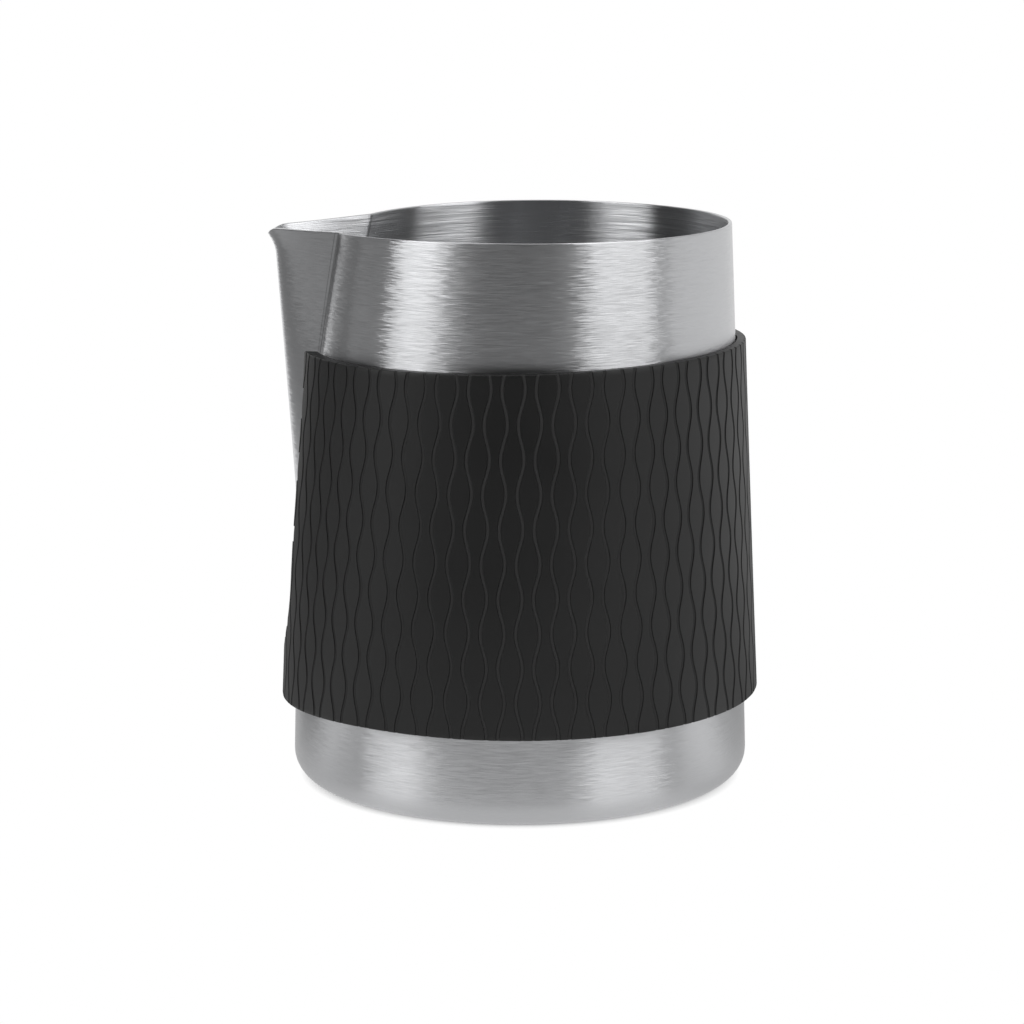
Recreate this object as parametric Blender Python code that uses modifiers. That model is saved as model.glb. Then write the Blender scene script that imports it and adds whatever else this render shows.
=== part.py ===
# Handleless milk frothing pitcher: a drawn steel cup with a pressed pouring spout, in a rubber grip sleeve.
# Metres, +Z up. The origin is on the cup's axis at table height, and the spout points along -X.

import math

import bmesh
import bpy

# Steel cup
BODY_HEIGHT = 0.0925
BASE_RADIUS = 0.0380
RIM_RADIUS = 0.03475
WALL_BULGE = 0.00015
BASE_CORNER = 0.0042
SHEET_THICKNESS = 0.0006
RIM_FALL = 0.00025

# Spout, pressed out of the wall between two creases
SPOUT_DROP = 0.0563
SPOUT_REACH = 0.0061
KEEL_SWEEP = 1.05
KEEL_NOSE = 0.0038
CREASE_HALF_WIDTH = 0.0149
CREASE_HALF_WIDTH_AT_ROOT = 0.0050
CREASE_SPREAD = 0.62
CREASE_PULL = 0.00385
CREASE_SWEEP = 1.15
DRAWN_ANGLE = math.radians(103.0)
DRAWN_FADE = 1.2
LIP_FLARE = 0.0012
LIP_HEIGHT = 0.0034
LIP_FADE = 3.0
LIP_DIP = 0.00175
LIP_DIP_FADE = 2.2
NOSE_DIP = 0.0005
NOSE_ANGLE = math.radians(5.0)

# Grip sleeve, stretched over the cup and open in front for the spout
SLEEVE_CLEARANCE = 0.0003
SLEEVE_THICKNESS_AT_TOP = 0.0014
SLEEVE_THICKNESS_AT_BOTTOM = 0.0019
SLEEVE_WAIST = 0.00010
SLEEVE_DRAW_INSIDE = 0.83
SLEEVE_DRAW_OUTSIDE = 0.58
STEEL_BELOW_SLEEVE = 0.0150
STEEL_ABOVE_SLEEVE = 0.0204
SLEEVE_RISE = 0.00115
SLEEVE_EDGE_ROUND = 0.0005
SLEEVE_DROOP = 0.0016
DROOP_ANGLE = math.radians(68.0)
NOTCH_HALF_WIDTH = 0.0145
NOTCH_HALF_WIDTH_AT_TOP = 0.0131
NOTCH_LEAN = 0.0120
NOTCH_BAND = 0.0046

# Fineness of the surfaces
FACET_COLUMNS = 10
WALL_COLUMNS = 26
FACET_CROWDING = 1.3
CORNER_ROWS = 5
LOWER_ROWS = 3
SPOUT_ROWS = 12
LIP_ROWS = 4
SLEEVE_ROWS = 8
EDGE_ROWS = 3
NOTCH_ROWS = 24
LEAN_ROWS = 4
SHARP_ANGLE = math.radians(35.0)

# Heights and counts that follow from the sizes above
SPOUT_ROOT = BODY_HEIGHT - SPOUT_DROP
SLEEVE_TOP = BODY_HEIGHT - STEEL_ABOVE_SLEEVE
HALF_COLUMNS = FACET_COLUMNS + WALL_COLUMNS
COLUMNS = 2 * HALF_COLUMNS


def wall_radius(z):
    """Outer radius of the cup's round wall, which narrows upwards with a slight bulge."""
    share = z / BODY_HEIGHT
    return BASE_RADIUS + (RIM_RADIUS - BASE_RADIUS) * share + WALL_BULGE * 4 * share * (1 - share)


def spout_share(z):
    """0 below the spout's root, 1 at the height of the rim."""
    return max(0.0, (z - SPOUT_ROOT) / SPOUT_DROP)


def crease_half_width(z):
    spread = spout_share(z) ** CREASE_SPREAD
    return CREASE_HALF_WIDTH_AT_ROOT + (CREASE_HALF_WIDTH - CREASE_HALF_WIDTH_AT_ROOT) * spread


def crease_radius(z):
    """Distance of the creases from the axis, which the pressing draws in from the round wall."""
    return wall_radius(z) - CREASE_PULL * spout_share(z) ** CREASE_SWEEP


def crease_angle(z):
    """Angle of the creases from the spout's direction."""
    return math.asin(crease_half_width(z) / crease_radius(z))


def drawn_in(angle, z):
    """How far the wall is drawn in from the round, most at the creases and not at all at the back."""
    share = (DRAWN_ANGLE - angle) / (DRAWN_ANGLE - crease_angle(z))
    return (wall_radius(z) - crease_radius(z)) * min(1.0, max(0.0, share)) ** DRAWN_FADE


def lip_flare(z, half_width_share):
    """How far the lip curls out, most at the nose and fading towards the creases."""
    nose_height = BODY_HEIGHT - LIP_DIP - NOSE_DIP
    height_share = max(0.0, 1 + (z - nose_height) / LIP_HEIGHT)
    return LIP_FLARE * height_share ** 2 * (1 - half_width_share) ** LIP_FADE


def plan_point(column, z):
    """A point of the cup's outer outline at height z, counted from the keel round by +Y."""
    mirrored = column > HALF_COLUMNS
    step = COLUMNS - column if mirrored else column
    crease_side = crease_half_width(z)
    crease_ahead = crease_radius(z) * math.cos(crease_angle(z))
    if step <= FACET_COLUMNS:
        share = (step / FACET_COLUMNS) ** FACET_CROWDING
        side = crease_side * share
        nose = wall_radius(z) + SPOUT_REACH * spout_share(z) ** KEEL_SWEEP
        fall = math.hypot(side, KEEL_NOSE) - KEEL_NOSE
        full_fall = math.hypot(crease_side, KEEL_NOSE) - KEEL_NOSE
        ahead = nose - (nose - crease_ahead) * fall / full_fall + lip_flare(z, share)
    else:
        start = crease_angle(z)
        angle = start + (math.pi - start) * (step - FACET_COLUMNS) / WALL_COLUMNS
        radius = wall_radius(z) - drawn_in(angle, z)
        ahead = radius * math.cos(angle)
        side = radius * math.sin(angle)
    return -ahead, -side if mirrored else side


def rim_height(column):
    """Height of the cut rim: a little lower at the back, and dipping to the nose of the spout."""
    x, y = plan_point(column, BODY_HEIGHT)
    angle = math.atan2(abs(y), -x)
    fall = RIM_FALL * (1 - math.cos(angle)) / 2
    nearness = max(0.0, 1 - angle / DRAWN_ANGLE)
    nose_nearness = max(0.0, 1 - angle / NOSE_ANGLE)
    return BODY_HEIGHT - fall - LIP_DIP * nearness ** LIP_DIP_FADE - NOSE_DIP * nose_nearness ** 2


def spaced(start, end, count):
    """Evenly spaced values from start to end, leaving out start."""
    return [start + (end - start) * (i + 1) / count for i in range(count)]


def loft(mesh, rings, closed):
    """Joins rings of points into strips of faces; a closed loft joins the last ring to the first."""
    loops = [[mesh.verts.new(point) for point in ring] for ring in rings]
    pairs = list(zip(loops, loops[1:]))
    if closed:
        pairs.append((loops[-1], loops[0]))
    for lower, upper in pairs:
        for column in range(COLUMNS):
            following = (column + 1) % COLUMNS
            mesh.faces.new((lower[column], upper[column], upper[following], lower[following]))
    return loops


def finish_object(name, mesh, collection, material):
    """Makes an object of a bmesh and shades its gentle bends smooth."""
    data = bpy.data.meshes.new(name)
    mesh.to_mesh(data)
    mesh.free()
    data.shade_smooth()
    data.set_sharp_from_angle(angle=SHARP_ANGLE)
    data.materials.append(material)
    piece = bpy.data.objects.new(name, data)
    collection.objects.link(piece)
    return piece


def make_material(name, colour, roughness, metallic):
    material = bpy.data.materials.new(name)
    material.use_nodes = True
    shader = material.node_tree.nodes["Principled BSDF"]
    shader.inputs["Base Color"].default_value = (*colour, 1.0)
    shader.inputs["Roughness"].default_value = roughness
    shader.inputs["Metallic"].default_value = metallic
    material.diffuse_color = (*colour, 1.0)
    return material


def make_pitcher_body(collection):
    """The cup as one sheet: flat base, rounded corner, tapering wall and spout, then given its thickness."""
    rings = []
    corner_radius = wall_radius(BASE_CORNER)
    for row in range(CORNER_ROWS):
        turn = math.pi / 2 * row / CORNER_ROWS
        inset = BASE_CORNER * (1 - math.sin(turn))
        z = BASE_CORNER * (1 - math.cos(turn))
        shrink = (corner_radius - inset) / corner_radius
        outline = [plan_point(column, BASE_CORNER) for column in range(COLUMNS)]
        rings.append([(x * shrink, y * shrink, z) for x, y in outline])
    lip_start = BODY_HEIGHT - LIP_HEIGHT
    heights = [BASE_CORNER]
    heights += spaced(BASE_CORNER, SPOUT_ROOT, LOWER_ROWS)
    heights += spaced(SPOUT_ROOT, lip_start, SPOUT_ROWS)
    heights += spaced(lip_start, BODY_HEIGHT, LIP_ROWS)
    for height in heights:
        ring = []
        for column in range(COLUMNS):
            above_root = spout_share(height)
            z = height - (BODY_HEIGHT - rim_height(column)) * above_root
            ring.append((*plan_point(column, z), z))
        rings.append(ring)
    mesh = bmesh.new()
    loops = loft(mesh, rings, closed=False)
    mesh.faces.new(loops[0])
    steel = make_material("brushed_steel", (0.60, 0.59, 0.58), 0.28, 1.0)
    body = finish_object("pitcher_body", mesh, collection, steel)
    sheet = body.modifiers.new("sheet_thickness", "SOLIDIFY")
    sheet.thickness = SHEET_THICKNESS
    sheet.offset = -1.0
    sheet.use_even_offset = True
    return body


def sleeve_bottom(angle):
    """Height of the sleeve's lower edge, which droops a little below the notch."""
    nearness = max(0.0, 1 - angle / DROOP_ANGLE)
    smooth = nearness * nearness * (3 - 2 * nearness)
    return STEEL_BELOW_SLEEVE - SLEEVE_DROOP * smooth


def sleeve_top(angle):
    """Height of the sleeve's upper edge, which rises towards the back."""
    return SLEEVE_TOP + SLEEVE_RISE * ((1 - math.cos(angle)) / 2) ** 2


def sleeve_inside(angle, z):
    """Radius of the sleeve's inner face, which bridges most of the dip beside the creases."""
    return wall_radius(z) - SLEEVE_DRAW_INSIDE * drawn_in(angle, z) + SLEEVE_CLEARANCE


def sleeve_outside(angle, z):
    """Radius of the sleeve's outer face: thinner towards the top, with a slight waist."""
    share = (z - STEEL_BELOW_SLEEVE) / (SLEEVE_TOP - STEEL_BELOW_SLEEVE)
    thinning = (SLEEVE_THICKNESS_AT_BOTTOM - SLEEVE_THICKNESS_AT_TOP) * share
    waist = SLEEVE_WAIST * 4 * share * (1 - share)
    stand_off = SLEEVE_CLEARANCE + SLEEVE_THICKNESS_AT_BOTTOM - thinning - waist
    return wall_radius(z) - SLEEVE_DRAW_OUTSIDE * drawn_in(angle, z) + stand_off


def sleeve_profile(angle):
    """Radius and height round the sleeve's wall, from the inner lower edge up the outside."""
    bottom = sleeve_bottom(angle)
    top = sleeve_top(angle)
    points = [(sleeve_inside(angle, bottom), bottom)]
    for row in range(EDGE_ROWS + 1):
        turn = math.pi / 2 * row / EDGE_ROWS
        z = bottom + SLEEVE_EDGE_ROUND * (1 - math.cos(turn))
        points.append((sleeve_outside(angle, z) - SLEEVE_EDGE_ROUND * (1 - math.sin(turn)), z))
    flat_bottom = bottom + SLEEVE_EDGE_ROUND
    flat_top = top - SLEEVE_EDGE_ROUND
    outside = spaced(flat_bottom, SPOUT_ROOT, LOWER_ROWS)
    outside += spaced(SPOUT_ROOT, flat_top, SLEEVE_ROWS)
    points += [(sleeve_outside(angle, z), z) for z in outside]
    for row in range(1, EDGE_ROWS + 1):
        turn = math.pi / 2 * row / EDGE_ROWS
        z = flat_top + SLEEVE_EDGE_ROUND * math.sin(turn)
        points.append((sleeve_outside(angle, z) - SLEEVE_EDGE_ROUND * (1 - math.cos(turn)), z))
    points.append((sleeve_inside(angle, top), top))
    inside = spaced(bottom, SPOUT_ROOT, LOWER_ROWS)
    inside += spaced(SPOUT_ROOT, top, SLEEVE_ROWS)
    points += [(sleeve_inside(angle, z), z) for z in reversed(inside[:-1])]
    return points


def notch_half_width(z):
    """The slot's sides run straight up and lean in towards the sleeve's upper edge."""
    lean = max(0.0, 1 - (SLEEVE_TOP - z) / NOTCH_LEAN)
    return NOTCH_HALF_WIDTH - (NOTCH_HALF_WIDTH - NOTCH_HALF_WIDTH_AT_TOP) * lean * lean


def make_notch_cutter(collection):
    """A round-ended slot seen from the front, drawn across the sleeve's wall."""
    floor = STEEL_BELOW_SLEEVE + NOTCH_BAND
    centre = floor + NOTCH_HALF_WIDTH
    above = SLEEVE_TOP + SLEEVE_RISE
    lean_start = SLEEVE_TOP - NOTCH_LEAN
    heights = [lean_start] + spaced(lean_start, above, LEAN_ROWS)
    outline = [(-notch_half_width(z), z) for z in reversed(heights)]
    for row in range(NOTCH_ROWS + 1):
        turn = math.pi * row / NOTCH_ROWS
        outline.append((-NOTCH_HALF_WIDTH * math.cos(turn), centre - NOTCH_HALF_WIDTH * math.sin(turn)))
    outline += [(notch_half_width(z), z) for z in heights]
    mesh = bmesh.new()
    near = -(BASE_RADIUS - NOTCH_HALF_WIDTH)
    face = mesh.faces.new([mesh.verts.new((near, y, z)) for y, z in outline])
    swept = bmesh.ops.extrude_face_region(mesh, geom=[face])
    moved = [item for item in swept["geom"] if isinstance(item, bmesh.types.BMVert)]
    bmesh.ops.translate(mesh, verts=moved, vec=(-2 * BASE_RADIUS, 0, 0))
    bmesh.ops.recalc_face_normals(mesh, faces=mesh.faces)
    guide = make_material("notch_guide", (0.8, 0.3, 0.1), 0.5, 0.0)
    cutter = finish_object("notch_cutter", mesh, collection, guide)
    cutter.hide_render = True
    cutter.display_type = "WIRE"
    return cutter


def make_grip_sleeve(collection, cutter_collection):
    """The sleeve is a smooth ring round the cup, and a slot leaves the spout bare."""
    profiles = []
    for column in range(COLUMNS):
        turn = 2 * math.pi * column / COLUMNS
        angle = min(turn, 2 * math.pi - turn)
        profiles.append([(-r * math.cos(turn), r * math.sin(turn), z) for r, z in sleeve_profile(angle)])
    mesh = bmesh.new()
    loft(mesh, list(zip(*profiles)), closed=True)
    bmesh.ops.recalc_face_normals(mesh, faces=mesh.faces)
    rubber = make_material("black_rubber", (0.022, 0.022, 0.023), 0.55, 0.0)
    sleeve = finish_object("grip_sleeve", mesh, collection, rubber)
    notch = sleeve.modifiers.new("spout_notch", "BOOLEAN")
    notch.operation = "DIFFERENCE"
    notch.object = make_notch_cutter(cutter_collection)
    return sleeve


def make_collection(name):
    collection = bpy.data.collections.new(name)
    bpy.context.scene.collection.children.link(collection)
    return collection


def main():
    for old in list(bpy.data.objects):
        bpy.data.objects.remove(old, do_unlink=True)
    parts = make_collection("milk_pitcher")
    cutters = make_collection("cutters")
    make_pitcher_body(parts)
    make_grip_sleeve(parts, cutters)


main()
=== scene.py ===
# %% [markdown]
# A milk frothing pitcher has two pieces: a brushed steel cup with a sharp pouring spout, and a black
# rubber sleeve that keeps hot steel away from the fingers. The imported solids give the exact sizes, and
# this lesson dresses them: a finer cup with softened edges, a sleeve with its wavy grooves cut in, and
# a white studio. Everything is in metres, +Z is up, and the spout points along -X.

import math

import bmesh
import bpy
import numpy as np
from mathutils import Matrix, Vector


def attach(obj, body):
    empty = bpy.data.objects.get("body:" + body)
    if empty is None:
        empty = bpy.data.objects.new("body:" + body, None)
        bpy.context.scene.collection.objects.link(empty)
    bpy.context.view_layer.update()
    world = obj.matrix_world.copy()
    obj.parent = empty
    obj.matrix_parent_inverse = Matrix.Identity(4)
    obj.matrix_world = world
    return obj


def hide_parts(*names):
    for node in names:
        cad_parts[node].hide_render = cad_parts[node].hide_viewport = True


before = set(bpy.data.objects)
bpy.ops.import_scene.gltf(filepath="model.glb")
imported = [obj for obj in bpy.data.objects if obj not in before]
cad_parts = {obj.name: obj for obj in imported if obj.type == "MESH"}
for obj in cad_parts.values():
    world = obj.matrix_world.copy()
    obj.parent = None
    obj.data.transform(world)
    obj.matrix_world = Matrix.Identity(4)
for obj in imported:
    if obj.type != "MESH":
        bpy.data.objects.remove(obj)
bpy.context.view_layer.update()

# %% [markdown]
# The camera comes first, because everything is judged through it. A long lens from half a metre away
# keeps the rim's ellipse shallow. The camera stands a little to the right of the pitcher's side view,
# so the spout points left and slightly away. It is placed with three plain turns: a heading round the
# upright axis, a tilt down, and a hair of roll.

# %% The camera
CAMERA_PLACE = (0.0651, -0.5305, 0.1486)
CAMERA_HEADING = math.radians(7.13)
CAMERA_TILT = math.radians(11.10)
CAMERA_ROLL = math.radians(-0.13)
SENSOR_WIDTH = 36.0
LENS = 115.1
CLIP_START = 0.01

scene = bpy.context.scene
camera_data = bpy.data.cameras.new("camera")
camera_data.sensor_width = SENSOR_WIDTH
camera_data.lens = LENS
camera_data.clip_start = CLIP_START
camera = bpy.data.objects.new("camera", camera_data)
scene.collection.objects.link(camera)
turn_to_heading = Matrix.Rotation(CAMERA_HEADING, 4, "Z")
turn_to_tilt = Matrix.Rotation(math.pi / 2 - CAMERA_TILT, 4, "X")
turn_to_roll = Matrix.Rotation(CAMERA_ROLL, 4, "Z")
camera.matrix_world = Matrix.Translation(CAMERA_PLACE) @ turn_to_heading @ turn_to_tilt @ turn_to_roll
scene.camera = camera
print("camera distance, mm:", round(1000 * math.hypot(*CAMERA_PLACE[:2])))

# %% [markdown]
# A deep-drawn cup is a plain tapered wall. Its spout is pressed out of that wall between two creases:
# from a rounded keel in front, two nearly flat facets run back to the creases, and the wall beside
# them is drawn in. A box model with subdivision could come close, but the facets, creases and keel are
# simple curves in plan, so the outline is written as a formula of the height. The same formula then
# shapes the cup and the sleeve around it.

# %% Sizes of the cup and its spout
CUP_HEIGHT = 0.0925
BASE_RADIUS = 0.0380
RIM_RADIUS = 0.03475
WALL_BULGE = 0.00015
BASE_CORNER = 0.0042
SHEET = 0.0006
RIM_FALL = 0.00025
SPOUT_DROP = 0.0563
SPOUT_REACH = 0.0061
KEEL_SWEEP = 1.05
KEEL_NOSE = 0.0038
CREASE_SIDE_AT_RIM = 0.0149
CREASE_SIDE_AT_ROOT = 0.0050
CREASE_SPREAD = 0.62
CREASE_PULL = 0.00385
CREASE_SWEEP = 1.15
DRAWN_ANGLE = math.radians(103.0)
DRAWN_FADE = 1.2
LIP_FLARE = 0.0012
LIP_HEIGHT = 0.0034
LIP_FADE = 3.0
LIP_DIP = 0.00175
LIP_DIP_FADE = 2.2
NOSE_DIP = 0.0009
NOSE_ANGLE = math.radians(5.5)


def wall_radius(z):
    share = z / CUP_HEIGHT
    return BASE_RADIUS + (RIM_RADIUS - BASE_RADIUS) * share + WALL_BULGE * 4 * share * (1 - share)


def spout_share(z):
    return np.maximum(0, (z - (CUP_HEIGHT - SPOUT_DROP)) / SPOUT_DROP)


def crease(z):
    """The creases' distance to the side, radius and angle from the spout's direction."""
    spread = spout_share(z) ** CREASE_SPREAD
    side = CREASE_SIDE_AT_ROOT + (CREASE_SIDE_AT_RIM - CREASE_SIDE_AT_ROOT) * spread
    radius = wall_radius(z) - CREASE_PULL * spout_share(z) ** CREASE_SWEEP
    return side, radius, np.arcsin(side / radius)


def drawn_in(angle, z):
    """How far the wall is drawn in from the round, most at the creases."""
    side, radius, crease_angle = crease(z)
    fade = np.clip((DRAWN_ANGLE - np.abs(angle)) / (DRAWN_ANGLE - crease_angle), 0, 1) ** DRAWN_FADE
    return (wall_radius(z) - radius) * fade


print("wall radius at the base and the rim, mm:", [round(1000 * wall_radius(z), 2) for z in (0, CUP_HEIGHT)])

# %% [markdown]
# A place round the cup is one number, `way`. It is 0 at the keel, 1 at a crease and 2 at the back, and
# its sign picks the side. Numpy works on whole grids of places at once. The press cannot fold the sheet
# to a knife edge, so the facet rolls a little into the crease before it meets the wall.

# %% The outline of the cup at any height
ROLL_SHARE = 0.00014
ROLL_ON_FACET = 0.0011
ROLL_ON_WALL = 0.00035


def outline(way, z):
    """How far a point of the cup's outer face is ahead of the axis, and to the side of it."""
    along = np.abs(way)
    crease_side, crease_radius, crease_angle = crease(z)
    crease_ahead = crease_radius * np.cos(crease_angle)

    share = np.minimum(along, 1)
    nose = wall_radius(z) + SPOUT_REACH * spout_share(z) ** KEEL_SWEEP
    full_fall = np.hypot(crease_side, KEEL_NOSE) - KEEL_NOSE
    steepness = (nose - crease_ahead) / full_fall
    facet_side = crease_side * share
    facet_ahead = nose - steepness * (np.hypot(facet_side, KEEL_NOSE) - KEEL_NOSE)
    lip = np.maximum(0, 1 + (z - CUP_HEIGHT + LIP_DIP + NOSE_DIP) / LIP_HEIGHT)
    facet_ahead = facet_ahead + LIP_FLARE * lip ** 2 * (1 - share) ** LIP_FADE

    angle = crease_angle + (math.pi - crease_angle) * np.maximum(along - 1, 0)
    radius = wall_radius(z) - drawn_in(angle, z)

    facet_normal = np.arctan(steepness * crease_side / np.hypot(crease_side, KEEL_NOSE))
    fold = np.maximum(0, facet_normal - crease_angle)
    facet_length = np.hypot(crease_side, nose - crease_ahead)
    on_facet = 1 - (1 - along) * facet_length / ROLL_ON_FACET
    on_wall = 1 - (angle - crease_angle) * radius / ROLL_ON_WALL
    closeness = np.clip(np.where(along < 1, on_facet, on_wall), 0, 1)
    roll = ROLL_SHARE * fold * closeness ** 2
    roll_angle = (facet_normal + crease_angle) / 2

    ahead = np.where(along < 1, facet_ahead, radius * np.cos(angle)) + roll * np.cos(roll_angle)
    side = np.where(along < 1, facet_side, radius * np.sin(angle)) + roll * np.sin(roll_angle)
    return ahead, np.sign(way) * side


def cup_points(way, z):
    """Points of the cup's outer face."""
    ahead, side = outline(way, z)
    return np.stack(np.broadcast_arrays(-ahead, side, z), axis=-1)


print("spout reach at the rim, mm:", round(1000 * float(outline(0.0, CUP_HEIGHT)[0]), 2))

# %% [markdown]
# The cup is one closed skin: up the outside, over the cut rim and down the inside. Rows of points run
# round it and strips of faces join them, as a lathe would leave rings. The columns crowd together at
# the keel and the creases, where the surface bends most. The rim is rounded over by a fraction of the
# sheet, which gives the thin bright line that a polished edge shows.

# %% The grid of the steel cup
FACET_COLUMNS = 30
WALL_COLUMNS = 84
FACET_CROWDING = 0.8
WALL_CROWDING = 1.7
CORNER_ROWS = 9
LOWER_ROWS = 12
SPOUT_ROWS = 44
LIP_ROWS = 10
BASE_RINGS = (0.25, 0.5, 0.75)
RIM_ROUND = 0.00016
RIM_TURNS = 4


def crowded(count):
    """Numbers from 0 to 1 that lie closer together towards both ends."""
    even = np.linspace(0, 1, count + 1)
    return even - FACET_CROWDING * np.sin(2 * math.pi * even) / (2 * math.pi)


facet_way = crowded(FACET_COLUMNS)
wall_way = 1 + np.linspace(0, 1, WALL_COLUMNS + 1) ** WALL_CROWDING
half_way = np.concatenate([facet_way, wall_way[1:]])
ring_way = np.concatenate([-half_way[:0:-1], half_way[:-1]])
print("columns round the cup:", len(ring_way))


def rim_height(way):
    ahead, side = outline(way, CUP_HEIGHT)
    angle = np.arctan2(np.abs(side), ahead)
    fall = RIM_FALL * (1 - np.cos(angle)) / 2
    dip = LIP_DIP * np.maximum(0, 1 - angle / DRAWN_ANGLE) ** LIP_DIP_FADE
    nearness = np.maximum(0, 1 - angle / NOSE_ANGLE)
    nose_dip = NOSE_DIP * nearness ** 2 * (3 - 2 * nearness)
    return CUP_HEIGHT - fall - dip - nose_dip


def square_to_wall(way, z):
    """Unit vectors pointing out of the cup's wall, and up along it."""
    step_way = 0.004
    step_z = 0.0001
    across = cup_points(way + step_way, z) - cup_points(way - step_way, z)
    upward = cup_points(way, z + step_z) - cup_points(way, z - step_z)
    normal = np.cross(upward, across)
    normal /= np.linalg.norm(normal, axis=-1, keepdims=True)
    upward /= np.linalg.norm(upward, axis=-1, keepdims=True)
    return normal, upward


# %% Rows of the cup, from the middle of its base up the outside, over the rim and down the inside
lip_start = CUP_HEIGHT - LIP_HEIGHT
root = CUP_HEIGHT - SPOUT_DROP
levels = np.concatenate([
    np.linspace(BASE_CORNER, root, LOWER_ROWS + 1)[:-1],
    np.linspace(root, lip_start, SPOUT_ROWS + 1)[:-1],
    np.linspace(lip_start, CUP_HEIGHT, LIP_ROWS + 1),
])
rim_drop = CUP_HEIGHT - rim_height(ring_way)
wall_z = levels[:, None] - rim_drop[None, :] * spout_share(levels)[:, None]
wall_way_grid = np.broadcast_to(ring_way, wall_z.shape)
outer_wall = cup_points(wall_way_grid, wall_z)
out_of_wall, up_wall = square_to_wall(wall_way_grid, wall_z)
inner_wall = outer_wall - SHEET * out_of_wall


def base_rows(skin_depth):
    """Rows of the flat base and its rounded corner, at a depth below the cup's outer face."""
    ground = outer_wall[0] * (1, 1, 0)
    radius = np.linalg.norm(ground, axis=-1, keepdims=True)
    corner = BASE_CORNER - skin_depth
    rows = []
    for share in BASE_RINGS:
        rows.append(ground * share * (1 - BASE_CORNER / radius) + (0, 0, skin_depth))
    for row in range(CORNER_ROWS):
        turn = math.pi / 2 * row / CORNER_ROWS
        reach = radius - BASE_CORNER + corner * math.sin(turn)
        height = BASE_CORNER - corner * math.cos(turn)
        rows.append(ground * reach / radius + (0, 0, height))
    return rows


rim_rows = []
for side, turns in ((0, range(RIM_TURNS + 1)), (1, range(RIM_TURNS, -1, -1))):
    for step in turns:
        turn = math.pi / 2 * step / RIM_TURNS
        depth = RIM_ROUND * (1 - math.cos(turn))
        inset = depth if side == 0 else SHEET - depth
        below = RIM_ROUND * (1 - math.sin(turn))
        rim_rows.append(outer_wall[-1] - inset * out_of_wall[-1] - below * up_wall[-1])

cup_rows = base_rows(0.0) + list(outer_wall[:-1]) + rim_rows
cup_rows += list(inner_wall[-2::-1]) + base_rows(SHEET)[::-1]
print("rows of the cup:", len(cup_rows))


# %% Join the rows into the cup
def skin(name, rows, closed=False, poles=()):
    """A mesh object of rings of points; poles cap the first and last ring, a closed skin joins them."""
    count = len(rows[0])
    points = np.concatenate(rows)
    faces = []
    pairs = [(row, row + 1) for row in range(len(rows) - 1)]
    if closed:
        pairs.append((len(rows) - 1, 0))
    for lower, upper in pairs:
        for column in range(count):
            after = (column + 1) % count
            faces.append((lower * count + column, lower * count + after,
                          upper * count + after, upper * count + column))
    points = [tuple(point) for point in points]
    for pole, (row, flip) in zip(poles, ((0, False), (len(rows) - 1, True))):
        points.append(pole)
        for column in range(count):
            start = row * count + column
            end = row * count + (column + 1) % count
            faces.append((len(points) - 1, start, end) if flip else (len(points) - 1, end, start))
    mesh = bpy.data.meshes.new(name)
    mesh.from_pydata(points, [], faces)
    piece = bpy.data.objects.new(name, mesh)
    scene.collection.objects.link(piece)
    tidy = bmesh.new()
    tidy.from_mesh(mesh)
    bmesh.ops.recalc_face_normals(tidy, faces=tidy.faces)
    tidy.to_mesh(mesh)
    tidy.free()
    mesh.shade_smooth()
    return piece


cup = skin("steel_cup", cup_rows, poles=((0.0, 0.0, 0.0), (0.0, 0.0, SHEET)))
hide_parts("pitcher_body")
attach(cup, "pitcher")
print("steel cup faces:", len(cup.data.polygons))

# %% [markdown]
# The sleeve is one rubber moulding that hugs the cup and leaves the spout bare. Its face carries upright
# grooves that swing left and right by turns, so that neighbours part and meet in a chain of almond
# shapes. A bump map would be quicker, but the grooves break the outline at the edge and catch real
# shadows, so they are cut into the mesh: every groove has its own columns of points, and these columns
# swing with it.

# %% Sizes of the sleeve
SLEEVE_CLEARANCE = 0.0003
SLEEVE_THICK_AT_TOP = 0.0014
SLEEVE_THICK_AT_BOTTOM = 0.00187
SLEEVE_WAIST = 0.00010
DRAW_INSIDE = 0.83
DRAW_OUTSIDE = 0.58
SLEEVE_BOTTOM = 0.0150
SLEEVE_TOP = 0.0721
SLEEVE_RISE = 0.00115
SLEEVE_DROOP = 0.0016
DROOP_ANGLE = math.radians(68.0)
SLEEVE_EDGE = 0.0002


def sleeve_bottom(angle):
    nearness = np.maximum(0, 1 - np.abs(angle) / DROOP_ANGLE)
    return SLEEVE_BOTTOM - SLEEVE_DROOP * nearness ** 2 * (3 - 2 * nearness)


def sleeve_top(angle):
    return SLEEVE_TOP + SLEEVE_RISE * ((1 - np.cos(angle)) / 2) ** 2


def inside_radius(angle, z):
    return wall_radius(z) - DRAW_INSIDE * drawn_in(angle, z) + SLEEVE_CLEARANCE


def outside_radius(angle, z):
    share = (z - SLEEVE_BOTTOM) / (SLEEVE_TOP - SLEEVE_BOTTOM)
    thick = SLEEVE_THICK_AT_BOTTOM + (SLEEVE_THICK_AT_TOP - SLEEVE_THICK_AT_BOTTOM) * share
    thick = thick - SLEEVE_WAIST * 4 * share * (1 - share)
    return wall_radius(z) - DRAW_OUTSIDE * drawn_in(angle, z) + SLEEVE_CLEARANCE + thick


print("sleeve height at the back, mm:", round(1000 * float(sleeve_top(math.pi) - sleeve_bottom(math.pi)), 1))

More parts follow.
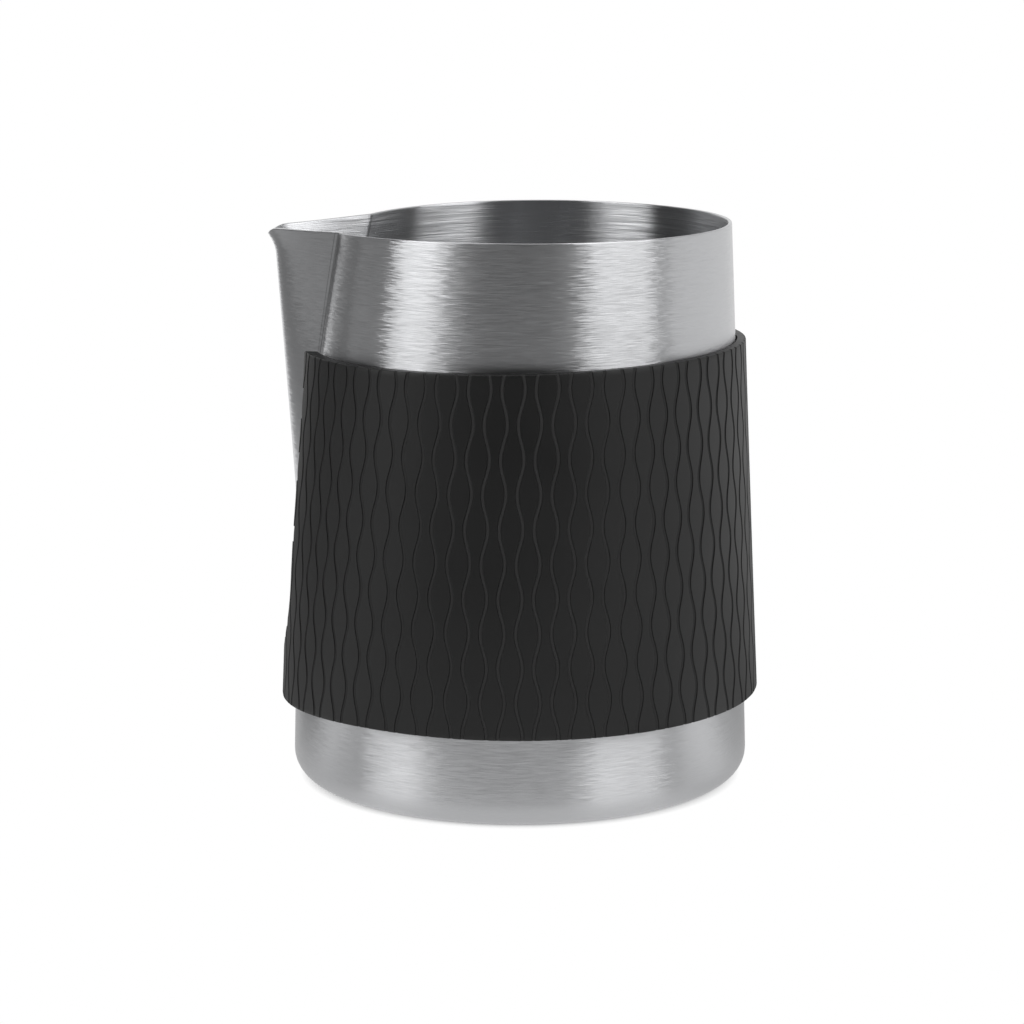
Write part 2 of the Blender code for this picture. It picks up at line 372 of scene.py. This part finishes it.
# %% The grooves
GROOVES = 88
GROOVE_START = 1.337
GROOVE_SWING = 0.183
WAVE_LENGTH = 0.01086
WAVE_CREST = 0.0481
GROOVE_DEPTH = 0.00014
HALF_STEPS = np.array([0.000265, 0.000295, 0.00033, 0.00039])
HALF_SHAPE = np.array([1.0, 0.4, 0.0, 0.0])
GROOVE_STEPS = np.concatenate([-HALF_STEPS[::-1], HALF_STEPS])
GROOVE_SHAPE = np.concatenate([HALF_SHAPE[::-1], HALF_SHAPE])
STEPS = len(GROOVE_STEPS)
FACE_SAMPLES = 2001


def groove_angles(height):
    """Angle of every column at one height: a few columns across each groove, which swing with it."""
    fine = np.linspace(-math.pi, math.pi, FACE_SAMPLES)
    radius = outside_radius(fine, np.full_like(fine, height))
    face = np.stack([radius * np.cos(fine), radius * np.sin(fine)], axis=-1)
    lengths = np.append(0, np.cumsum(np.linalg.norm(np.diff(face, axis=0), axis=1)))
    number = np.arange(GROOVES)
    swing = GROOVE_SWING * np.where(number % 2 == 0, 1, -1)
    wave = math.cos(2 * math.pi * (height - WAVE_CREST) / WAVE_LENGTH)
    middle = (number + GROOVE_START + swing * wave) / GROOVES * lengths[-1]
    along = (middle[:, None] + GROOVE_STEPS[None, :]).ravel()
    return np.interp(along % lengths[-1], lengths, fine)


print("grooves:", GROOVES, "columns round the sleeve:", len(groove_angles(SLEEVE_BOTTOM)))

# %% [markdown]
# The sleeve's wall is a closed loop in section: out along the lower edge, up the grooved face, over the
# rounded top and down the smooth inside. Each row keeps the groove columns of its own height, and the
# rows spread between the drooping lower edge and the upper edge, which rises towards the back.

# %% Rows of the sleeve
SLEEVE_ROWS = 84
EDGE_TURNS = 3
INSIDE_ROWS = 10


def sleeve_row(height, face_radius, inset=0.0, depth=GROOVE_DEPTH):
    """One ring of the sleeve's inner or outer face, set in for a rounded edge, with its grooves cut."""
    angle = groove_angles(height)
    rise = (height - SLEEVE_BOTTOM) / (SLEEVE_TOP - SLEEVE_BOTTOM)
    z = sleeve_bottom(angle) + rise * (sleeve_top(angle) - sleeve_bottom(angle))
    radius = face_radius(angle, z) - inset - depth * np.tile(GROOVE_SHAPE, GROOVES)
    return np.stack([-radius * np.cos(angle), radius * np.sin(angle), z], axis=-1)


sleeve_rows = [sleeve_row(SLEEVE_BOTTOM, inside_radius, depth=0.0)]
for step in range(EDGE_TURNS):
    turn = math.pi / 2 * step / EDGE_TURNS
    height = SLEEVE_BOTTOM + SLEEVE_EDGE * (1 - math.cos(turn))
    sleeve_rows.append(sleeve_row(height, outside_radius, SLEEVE_EDGE * (1 - math.sin(turn))))
for height in np.linspace(SLEEVE_BOTTOM + SLEEVE_EDGE, SLEEVE_TOP - SLEEVE_EDGE, SLEEVE_ROWS + 1):
    sleeve_rows.append(sleeve_row(height, outside_radius))
for step in range(1, EDGE_TURNS + 1):
    turn = math.pi / 2 * step / EDGE_TURNS
    height = SLEEVE_TOP - SLEEVE_EDGE * (1 - math.sin(turn))
    sleeve_rows.append(sleeve_row(height, outside_radius, SLEEVE_EDGE * (1 - math.cos(turn))))
outer_rows = len(sleeve_rows)
for height in np.linspace(SLEEVE_TOP, SLEEVE_BOTTOM, INSIDE_ROWS + 1)[:-1]:
    sleeve_rows.append(sleeve_row(height, inside_radius, depth=0.0))
sleeve = skin("rubber_sleeve", sleeve_rows, closed=True)
print("sleeve faces before the notch:", len(sleeve.data.polygons))

# %% [markdown]
# The mould was cut with a fine flat tool, which leaves the floors of the grooves duller and paler than
# the smooth face between them. The floors therefore get a finish of their own. A face knows its finish
# by number, and the numbers survive the cutting of the notch.

# %% Mark the floors of the grooves
rubber = bpy.data.materials.new("black_rubber")
groove_rubber = bpy.data.materials.new("dull_groove_rubber")
sleeve.data.materials.append(rubber)
sleeve.data.materials.append(groove_rubber)
row_number, column_number = np.divmod(np.arange(len(sleeve.data.polygons)), GROOVES * STEPS)
groove_floor = column_number % STEPS == STEPS // 2 - 1
on_outside = (row_number >= 1) & (row_number < outer_rows - 1)
sleeve.data.polygons.foreach_set("material_index", (groove_floor & on_outside).astype(np.int32))
print("groove floor faces:", int((groove_floor & on_outside).sum()))

# %% [markdown]
# The notch for the spout is a slot with a round end, whose sides lean in at the top. It is cut with a
# Boolean, the way a maker would punch it, so that the grooves end cleanly at its edge.

# %% Cut the notch
NOTCH_HALF_WIDTH = 0.0145
NOTCH_HALF_WIDTH_AT_TOP = 0.0131
NOTCH_LEAN = 0.0120
NOTCH_FLOOR = 0.0196
NOTCH_TURNS = 40
LEAN_STEPS = 8
CUTTER_NEAR = 0.024
CUTTER_FAR = 0.060
SHARP_ANGLE = math.radians(50)


def notch_half_width(z):
    lean = max(0.0, 1 - (SLEEVE_TOP - z) / NOTCH_LEAN)
    return NOTCH_HALF_WIDTH - (NOTCH_HALF_WIDTH - NOTCH_HALF_WIDTH_AT_TOP) * lean ** 2


def notch_outline():
    centre = NOTCH_FLOOR + NOTCH_HALF_WIDTH
    heights = np.linspace(SLEEVE_TOP + SLEEVE_RISE, SLEEVE_TOP - NOTCH_LEAN, LEAN_STEPS + 1)
    points = [(-notch_half_width(height), height) for height in heights]
    for step in range(NOTCH_TURNS + 1):
        turn = math.pi * step / NOTCH_TURNS
        points.append((-NOTCH_HALF_WIDTH * math.cos(turn), centre - NOTCH_HALF_WIDTH * math.sin(turn)))
    points += [(notch_half_width(height), height) for height in heights[::-1]]
    return points


slot_mesh = bmesh.new()
near_face = slot_mesh.faces.new([slot_mesh.verts.new((-CUTTER_NEAR, y, z)) for y, z in notch_outline()])
swept = bmesh.ops.extrude_face_region(slot_mesh, geom=[near_face])
far_points = [item for item in swept["geom"] if isinstance(item, bmesh.types.BMVert)]
bmesh.ops.translate(slot_mesh, verts=far_points, vec=(CUTTER_NEAR - CUTTER_FAR, 0, 0))
bmesh.ops.recalc_face_normals(slot_mesh, faces=slot_mesh.faces)
cutter_mesh = bpy.data.meshes.new("notch_cutter")
slot_mesh.to_mesh(cutter_mesh)
slot_mesh.free()
cutter = bpy.data.objects.new("notch_cutter", cutter_mesh)
scene.collection.objects.link(cutter)

notch = sleeve.modifiers.new("notch", "BOOLEAN")
notch.operation = "DIFFERENCE"
notch.solver = "EXACT"
notch.object = cutter
bpy.context.view_layer.update()
evaluated = sleeve.evaluated_get(bpy.context.evaluated_depsgraph_get())
cut_mesh = bpy.data.meshes.new_from_object(evaluated)
sleeve.modifiers.clear()
sleeve.data = cut_mesh
bpy.data.objects.remove(cutter, do_unlink=True)
sleeve.data.shade_smooth()
sleeve.data.set_sharp_from_angle(angle=SHARP_ANGLE)
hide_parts("grip_sleeve")
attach(sleeve, "sleeve")
print("sleeve faces with the notch:", len(sleeve.data.polygons))

# %% [markdown]
# Shader nodes are easier to read as sums than as boxes. This small class wraps an output socket, and
# ordinary arithmetic on it adds Math nodes. Any other node comes from the one method of `Finish`.

# %% Shader maths
def plug(slot, value):
    """Links a wrapped socket to a node's input, or sets the input to a plain value."""
    if isinstance(value, Value):
        slot.id_data.links.new(value.socket, slot)
    else:
        slot.default_value = value


class Value:
    """An output socket that ordinary arithmetic works on."""

    def __init__(self, socket):
        self.socket = socket

    def maths(self, operation, *terms):
        node = self.socket.id_data.nodes.new("ShaderNodeMath")
        node.operation = operation
        for slot, term in zip(node.inputs, terms):
            plug(slot, term)
        return Value(node.outputs[0])

    def __add__(self, other):
        return self.maths("ADD", self, other)

    def __radd__(self, other):
        return self.maths("ADD", other, self)

    def __sub__(self, other):
        return self.maths("SUBTRACT", self, other)

    def __rsub__(self, other):
        return self.maths("SUBTRACT", other, self)

    def __mul__(self, other):
        return self.maths("MULTIPLY", self, other)

    def __rmul__(self, other):
        return self.maths("MULTIPLY", other, self)

    def __truediv__(self, other):
        return self.maths("DIVIDE", self, other)

    def __pow__(self, other):
        return self.maths("POWER", self, other)

    def clamped(self):
        return self.maths("MINIMUM", self.maths("MAXIMUM", self, 0.0), 1.0)


class Finish:
    """A node tree under construction: a material's or the world's."""

    def __init__(self, owner):
        owner.use_nodes = True
        self.tree = owner.node_tree
        self.tree.nodes.clear()

    def node(self, kind, settings=None, sockets=None, output=0):
        made = self.tree.nodes.new(kind)
        for name, setting in (settings or {}).items():
            if name == "stops":
                self.set_stops(made.color_ramp, setting)
            else:
                setattr(made, name, setting)
        for name, value in (sockets or {}).items():
            plug(made.inputs[name], value)
        return Value(made.outputs[output]) if made.outputs else made

    def set_stops(self, ramp, stops):
        while len(ramp.elements) < len(stops):
            ramp.elements.new(1.0)
        for element, (position, level) in zip(ramp.elements, stops):
            element.position = position
            element.color = (level, level, level, 1.0)

    def place(self):
        """X, Y and Z of the point on the surface, in metres."""
        spot = self.node("ShaderNodeTexCoord", None, None, "Object")
        return [self.node("ShaderNodeSeparateXYZ", None, {0: spot}, axis) for axis in "XYZ"]


# %% [markdown]
# The steel is brushed round the cup, so every scratch is a short arc. Light spreads across the
# scratches, up and down, and stays fairly sharp along them: that is what draws tall bright and dark
# bands on the wall. Cycles gives this with anisotropy, turned a quarter so that the spread runs
# upright. The scratches themselves are layers of noise, squeezed flat along Z, and on the base
# along the radius, which leaves rings. The inside of the cup has longer and coarser lines.

# %% Streaks in the steel
BRUSH_LENGTH = 90.0
BRUSH_FINENESS = 7500.0
BRUSH_DETAIL = 3.0
SCRATCH_LENGTH = 300.0
SCRATCH_FINENESS = 10500.0
GLINT_LENGTH = 360.0
GLINT_FINENESS = 10000.0
SCRATCH_DETAIL = 2.0
STREAK_ROUGHNESS = 0.6
GRAIN_CONTRAST = 1.8
STEEL_DARK = (0.560, 0.565, 0.578, 1)
STEEL_PALE = (0.620, 0.625, 0.638, 1)

steel = bpy.data.materials.new("brushed_steel")
made = Finish(steel)
x, y, z = made.place()
radius = (x * x + y * y) ** 0.5
on_base = (1 - z / BASE_CORNER).clamped()
ring = z + radius * on_base


def streaks(length, fineness, detail):
    """Noise drawn out along the brushing, from 0 to 1."""
    stretched = made.node("ShaderNodeCombineXYZ", None,
                          {0: x * length, 1: y * length, 2: ring * fineness})
    return made.node("ShaderNodeTexNoise", {"noise_dimensions": "3D"}, {
        "Vector": stretched, "Scale": 1.0, "Detail": detail, "Roughness": STREAK_ROUGHNESS}, "Fac")


brush = streaks(BRUSH_LENGTH, BRUSH_FINENESS, BRUSH_DETAIL)
scratch = streaks(SCRATCH_LENGTH, SCRATCH_FINENESS, SCRATCH_DETAIL)
glint = streaks(GLINT_LENGTH, GLINT_FINENESS, SCRATCH_DETAIL)
grain = ((brush * 0.5 + scratch * 0.5 - 0.5) * GRAIN_CONTRAST + 0.5).clamped()
steel_colour = made.node("ShaderNodeMix", {"data_type": "RGBA"}, {0: grain, 6: STEEL_DARK, 7: STEEL_PALE}, 2)

face = made.node("ShaderNodeNewGeometry", None, None, "Normal")
spot = made.node("ShaderNodeCombineXYZ", None, {0: x, 1: y})
facing_out = made.node("ShaderNodeVectorMath", {"operation": "DOT_PRODUCT"}, {0: spot, 1: face}, "Value")
inside = facing_out.maths("LESS_THAN", facing_out, 0.0)
print("steel nodes so far:", len(steel.node_tree.nodes))

# %% [markdown]
# A painted shade darkens the steel's colour in a band along the creases beside the spout, and a fine
# painted dark line runs next to it. Both follow the crease's own formula, and both fade out towards
# the spout's root, where the fold is shallow.

# %% Painted shade along the folds beside the spout
# Painted shade: the steel's colour is darkened in a band along each crease and in a fine line beside it.
CREASE_SHADE_BAND = (-0.0019, 0.0002)
CREASE_PAINTED_SHADE = 0.36
CREASE_SHADE_LINE = (0.00052, 0.00076)
LINE_PAINTED_SHADE = 0.36
FOLD_EDGE = 0.0001
FOLD_START = 0.25
FOLD_FADE = 0.35
BLACK = (0, 0, 0, 1)

spout_height = ((z - root) / SPOUT_DROP).clamped()
crease_spread = CREASE_SIDE_AT_RIM - CREASE_SIDE_AT_ROOT
crease_place = CREASE_SIDE_AT_ROOT + crease_spread * spout_height ** CREASE_SPREAD
short_of_crease = crease_place - y.maths("ABSOLUTE", y)


def painted_band_along_crease(start, end):
    """1 on a band along the crease where shade is painted, 0 elsewhere."""
    past_start = ((short_of_crease - start) / FOLD_EDGE).clamped()
    before_end = ((end - short_of_crease) / FOLD_EDGE).clamped()
    return past_start * before_end


# The painted shade: how far the colour is darkened towards black along the crease.
painted_crease_shade = painted_band_along_crease(*CREASE_SHADE_BAND) * CREASE_PAINTED_SHADE + painted_band_along_crease(*CREASE_SHADE_LINE) * LINE_PAINTED_SHADE
above_root = ((spout_height - FOLD_START) / FOLD_FADE).clamped()
on_spout = x.maths("LESS_THAN", x, 0.0) * (1 - inside) * above_root
# The steel's colour with the painted shade of the creases mixed in.
colour_with_painted_shade = made.node("ShaderNodeMix", {"data_type": "RGBA"},
                          {0: painted_crease_shade * on_spout, 6: steel_colour, 7: BLACK}, 2)
print("steel nodes with the folds:", len(steel.node_tree.nodes))

# %% [markdown]
# A scratch shows because its sides lean. The noise therefore tips the normal, along the brushing and
# across it, and hardly touches the colour. Tips along the brushing break up the edges of the bright
# bands. Inside the cup, where the lines are long, those tips are weaker and the ones across are stronger.

# %% Brushed steel
TIP_ALONG = 0.35
TIP_ACROSS = 0.5
COARSER_INSIDE = 1.6
CALMER_INSIDE = 0.8
STEEL_ROUGHNESS = 0.28
ROUGHER_GRAIN = 0.06
QUARTER_TURN = 0.25


def vectors(operation, *sockets):
    """Vector maths on one or two vectors, or on a vector and a scale."""
    names = (0, "Scale") if operation == "SCALE" else (0, 1)
    return made.node("ShaderNodeVectorMath", {"operation": operation}, dict(zip(names, sockets)))


lines = scratch + (brush - scratch) * inside
along = vectors("NORMALIZE", vectors("CROSS_PRODUCT", (0, 0, 1), spot))
across = vectors("CROSS_PRODUCT", face, along)
along_by = (glint - 0.5) * (1 - CALMER_INSIDE * inside) * TIP_ALONG
across_by = (lines - 0.5) * (1 + COARSER_INSIDE * inside) * TIP_ACROSS
tips = vectors("ADD", vectors("SCALE", along, along_by), vectors("SCALE", across, across_by))
scratched = vectors("NORMALIZE", vectors("ADD", face, tips))
# The base colour carries the painted shade along the creases.
steel_shader = made.node("ShaderNodeBsdfPrincipled", None, {
    "Base Color": colour_with_painted_shade, "Metallic": 1.0, "Roughness": STEEL_ROUGHNESS + ROUGHER_GRAIN * grain,
    "Anisotropic": 1.0, "Anisotropic Rotation": QUARTER_TURN, "Normal": scratched})
made.node("ShaderNodeOutputMaterial", None, {"Surface": steel_shader})
cup.data.materials.append(steel)
print("steel nodes:", len(steel.node_tree.nodes))

# %% [markdown]
# The sleeve is dull black rubber. It keeps a fine moulded grain, and handling leaves it a little
# smoother in places, so the roughness drifts slowly over the face. The floors of the grooves
# have the same rubber with a matt, paler skin.

# %% Black rubber
GRAIN_SIZE = 5200.0
GRAIN_DETAIL = 2.0
GRAIN_STRENGTH = 0.25
GRAIN_DEPTH = 0.00003
HANDLING_SIZE = 60.0
HANDLING_DETAIL = 3.0
ROUGHER_BY_HANDLING = 0.16


def finish_rubber(material, dark, pale, roughness, gloss):
    """Rubber between two shades, from the least roughness up, with a level of gloss."""
    made = Finish(material)
    spot = made.node("ShaderNodeTexCoord", None, None, "Object")
    moulded = made.node("ShaderNodeTexNoise", None,
                        {"Vector": spot, "Scale": GRAIN_SIZE, "Detail": GRAIN_DETAIL}, "Fac")
    handled = made.node("ShaderNodeTexNoise", None,
                        {"Vector": spot, "Scale": HANDLING_SIZE, "Detail": HANDLING_DETAIL}, "Fac")
    shade = made.node("ShaderNodeMix", {"data_type": "RGBA"},
                      {0: handled, 6: (dark, dark, dark, 1), 7: (pale, pale, pale, 1)}, 2)
    relief = made.node("ShaderNodeBump", None, {
        "Strength": GRAIN_STRENGTH, "Distance": GRAIN_DEPTH, "Height": moulded})
    shader = made.node("ShaderNodeBsdfPrincipled", None, {
        "Base Color": shade, "Roughness": roughness + ROUGHER_BY_HANDLING * handled,
        "Specular IOR Level": gloss, "Normal": relief})
    made.node("ShaderNodeOutputMaterial", None, {"Surface": shader})
    print(material.name, "nodes:", len(material.node_tree.nodes))


finish_rubber(rubber, dark=0.0018, pale=0.0032, roughness=0.40, gloss=0.46)
finish_rubber(groove_rubber, dark=0.0145, pale=0.0190, roughness=0.78, gloss=0.15)

# %% [markdown]
# Steel shows its surroundings more than itself. In the studio, two tall soft boxes stand to the left
# and right of the camera, a white card closes the right side, and the room behind the camera is dim.
# All of that is one wall round the table, painted by a ramp of its direction, and its lowest part looks
# like the studio floor. Only reflections see the wall: the camera looks through it to plain white. Each
# stop of a ramp is a direction, in degrees round from the camera with left negative, and a brightness.

# %% What the steel reflects
WALL_RADIUS = 1.0
WALL_HEIGHT = 2.5
WALL_SIDES = 96
SILL_HEIGHT = 0.10
WALL_STOPS = (
    (-180, 0.85), (-160, 0.95), (-147, 0.98), (-141, 0.70), (-134, 0.32), (-126, 0.17), (-118, 0.13),
    (-95, 0.10), (-85, 0.12), (-84, 0.28), (-81, 2.40), (-75, 2.70), (-60, 2.70), (-53, 1.90),
    (-47, 0.50), (-38, 0.13), (-26, 0.05), (0, 0.03), (22, 0.06), (31, 0.20), (38, 2.10), (46, 2.42),
    (60, 2.45), (68, 2.60), (74, 2.60), (76, 1.90), (78, 0.35), (90, 0.40),
    (118, 0.58), (150, 0.75), (180, 0.85),
)
FLOOR_STOPS = (
    (-180, 0.85), (-160, 0.95), (-147, 1.00), (-142, 0.55), (-137, 0.26), (-118, 0.20), (-110, 0.50),
    (-95, 0.40), (-60, 0.10), (-30, 0.07), (25, 0.07), (40, 0.08), (60, 0.10), (72, 0.12), (79, 0.35),
    (87, 1.15), (100, 1.20), (125, 1.00), (145, 0.82), (180, 0.85),
)


def studio_light(tree, x, y, studio_stops):
    """How bright the studio is in a direction, as the steel sees it."""
    direction = x.maths("ARCTAN2", x, 0 - y) - CAMERA_HEADING
    turn = direction / (2 * math.pi) + 0.5
    stops = [((degrees + 180) / 360, level) for degrees, level in studio_stops]
    return tree.node("ShaderNodeValToRGB", {"stops": stops}, {"Fac": turn.maths("FRACT", turn)}, "Color")


# %% The studio wall
wall_material = bpy.data.materials.new("studio_wall")
made = Finish(wall_material)
x, y, z = made.place()
room_light = made.node("ShaderNodeMix", {"data_type": "RGBA"}, {
    0: z.maths("GREATER_THAN", z, SILL_HEIGHT), 6: studio_light(made, x, y, FLOOR_STOPS),
    7: studio_light(made, x, y, WALL_STOPS)}, 2)
glow = made.node("ShaderNodeEmission", None, {"Color": room_light, "Strength": 1.0})
made.node("ShaderNodeOutputMaterial", None, {"Surface": glow})

wall_mesh = bmesh.new()
bmesh.ops.create_cone(wall_mesh, cap_ends=False, segments=WALL_SIDES, radius1=WALL_RADIUS,
                      radius2=WALL_RADIUS, depth=WALL_HEIGHT,
                      matrix=Matrix.Translation((0, 0, WALL_HEIGHT / 2)))
wall_data = bpy.data.meshes.new("studio_wall")
wall_mesh.to_mesh(wall_data)
wall_mesh.free()
wall_data.materials.append(wall_material)
studio_wall = bpy.data.objects.new("studio_wall", wall_data)
scene.collection.objects.link(studio_wall)
for ray in ("camera", "diffuse", "transmission", "shadow", "volume_scatter"):
    setattr(studio_wall, "visible_" + ray, False)
print("studio wall stops:", len(WALL_STOPS))

# %% [markdown]
# The table is a white sheet. At the pitcher's foot it is shaded, so the soft contact shadow stays, and
# a few millimetres out the camera sees it fade to the white of the backdrop. Reflections see the lit
# sheet close by, darker to the sides, and the dim studio floor further off.

# %% How the table looks
SHEET_WHITE = (0.93, 0.93, 0.93, 1)
WHITE = (1, 1, 1, 1)
FADE_START = 0.0340
FADE_LENGTH = 0.003
FOOT_START = 0.042
FOOT_LENGTH = 0.020
FAR_START = 0.11
FAR_LENGTH = 0.25
FOOT_STOPS = (
    (-180, 0.58), (-90, 0.60), (-60, 0.72), (-40, 0.80), (40, 0.80), (58, 0.68), (90, 0.56), (180, 0.58),
)
NEAR_STOPS = (
    (-180, 0.60), (-125, 0.46), (-108, 0.34), (-94, 0.70), (-82, 1.25), (-72, 0.72), (-55, 0.52),
    (-42, 0.83), (25, 0.88), (38, 0.58), (62, 0.60), (73, 0.98), (84, 1.12), (96, 0.50), (115, 0.34),
    (180, 0.60),
)

table_material = bpy.data.materials.new("white_table")
made = Finish(table_material)
x, y, _ = made.place()
radius = (x * x + y * y) ** 0.5
seen = made.node("ShaderNodeLightPath", None, None, "Is Camera Ray")
mirrored = made.node("ShaderNodeLightPath", None, None, "Is Glossy Ray")
faded = ((radius - FADE_START) / FADE_LENGTH).clamped()
sheet = made.node("ShaderNodeBsdfDiffuse", None, {"Color": SHEET_WHITE})
white = made.node("ShaderNodeEmission", None, {"Color": WHITE, "Strength": 1.0})
shaded = made.node("ShaderNodeMixShader", None, {0: seen * faded, 1: sheet, 2: white})
foot = studio_light(made, x, y, FOOT_STOPS)
near = made.node("ShaderNodeMix", {"data_type": "RGBA"}, {
    0: ((radius - FOOT_START) / FOOT_LENGTH).clamped(), 6: foot,
    7: studio_light(made, x, y, NEAR_STOPS)}, 2)
floor_colour = made.node("ShaderNodeMix", {"data_type": "RGBA"}, {
    0: ((radius - FAR_START) / FAR_LENGTH).clamped(), 6: near,
    7: studio_light(made, x, y, FLOOR_STOPS)}, 2)
studio = made.node("ShaderNodeEmission", None, {"Color": floor_colour, "Strength": 1.0})
table_shader = made.node("ShaderNodeMixShader", None, {0: mirrored, 1: shaded, 2: studio})
made.node("ShaderNodeOutputMaterial", None, {"Surface": table_shader})
print("table nodes:", len(table_material.node_tree.nodes))

# %% Lay the table
TABLE_HALF = 6.0
TABLE_SINK = 0.00005
CORNERS = ((-1, -1), (1, -1), (1, 1), (-1, 1))

table_data = bpy.data.meshes.new("white_table")
table_points = [(TABLE_HALF * side, TABLE_HALF * end, 0.0) for side, end in CORNERS]
table_data.from_pydata(table_points, [], [(0, 1, 2, 3)])
table_data.materials.append(table_material)
table = bpy.data.objects.new("white_table", table_data)
table.location.z = -TABLE_SINK
scene.collection.objects.link(table)
print("table width, m:", 2 * TABLE_HALF)

# %% [markdown]
# The light itself is plain: an even white room, one large soft lamp overhead and one on each side. The
# lamps stay out of the reflections, because the wall already shows the soft boxes. A lamp's line gives
# its name, its place, its width in metres and its power in watts.

# %% The light
ROOM_LEVEL = 0.55
AIM_HEIGHT = 0.045
LAMPS = (
    ("top_lamp", (0.0, -0.1, 1.1), 1.0, 9.0),
    ("left_lamp", (-0.75, -0.75, 0.55), 0.6, 5.0),
    ("right_lamp", (0.85, -0.65, 0.55), 0.6, 7.0),
)

world = bpy.data.worlds.new("white_room")
scene.world = world
made = Finish(world)
direct = made.node("ShaderNodeLightPath", None, None, "Is Camera Ray")
mirrored = made.node("ShaderNodeLightPath", None, None, "Is Glossy Ray")
through = made.node("ShaderNodeLightPath", None, None, "Is Transmission Ray")
shown = (direct + mirrored + through).clamped()
room = made.node("ShaderNodeBackground", None,
                 {"Color": WHITE, "Strength": ROOM_LEVEL + (1 - ROOM_LEVEL) * shown})
made.node("ShaderNodeOutputWorld", None, {"Surface": room})

for name, lamp_place, size, power in LAMPS:
    lamp_data = bpy.data.lights.new(name, "AREA")
    lamp_data.shape = "SQUARE"
    lamp_data.size = size
    lamp_data.energy = power
    lamp = bpy.data.objects.new(name, lamp_data)
    scene.collection.objects.link(lamp)
    aim = Vector((0, 0, AIM_HEIGHT)) - Vector(lamp_place)
    lamp.location = lamp_place
    lamp.rotation_euler = aim.to_track_quat("-Z", "Y").to_euler()
    lamp.visible_glossy = False
    lamp.visible_camera = False
scene.view_settings.view_transform = "Standard"
print("lamps:", len(LAMPS))
